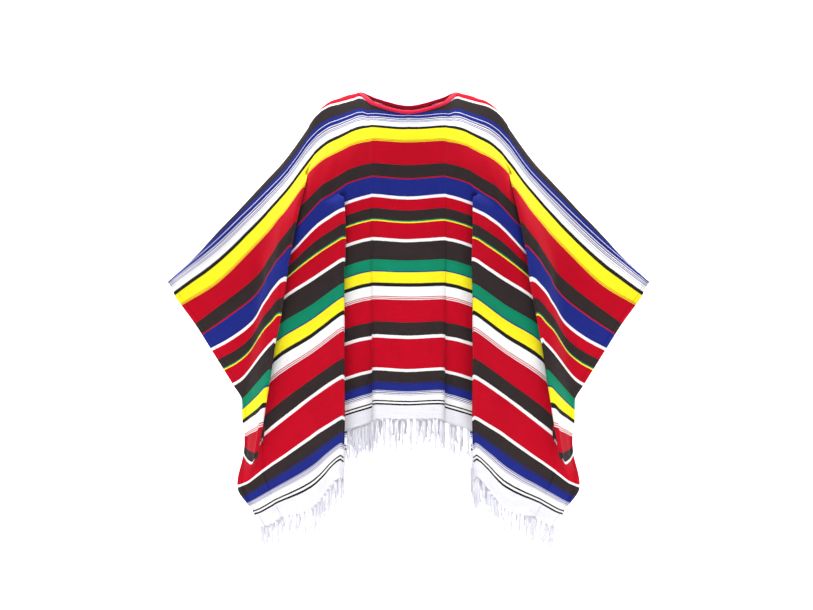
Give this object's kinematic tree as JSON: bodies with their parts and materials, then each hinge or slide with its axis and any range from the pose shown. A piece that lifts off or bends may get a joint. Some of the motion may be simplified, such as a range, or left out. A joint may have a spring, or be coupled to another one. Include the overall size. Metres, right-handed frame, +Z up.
{
  "type": "poncho costume",
  "caption": "Striped serape poncho, open at the neck and sides, with a red bound neck and a knotted fringe, shaped as worn.",
  "frame": {"origin": "middle of the shoulder line between the two corners of the head hole, where the wearer's shoulders carry the cloth", "axes": "+X to the viewer's right seen from the front, -Y out of the front, +Z up"},
  "size_m": [1.1156, 0.3382, 1.0726],
  "materials": {
    "woven_cloth": "matt weft-faced weave in stripes",
    "red_tape": "matt woven tape",
    "white_yarn": "soft twisted yarn"
  },
  "bodies": {
    "root": {"front_cloth": "woven_cloth", "back_cloth": "woven_cloth", "neck_binding": "red_tape", "neck_tab": "red_tape", "front_fringe": "white_yarn", "back_fringe": "white_yarn"}
  },
  "joints": []
}
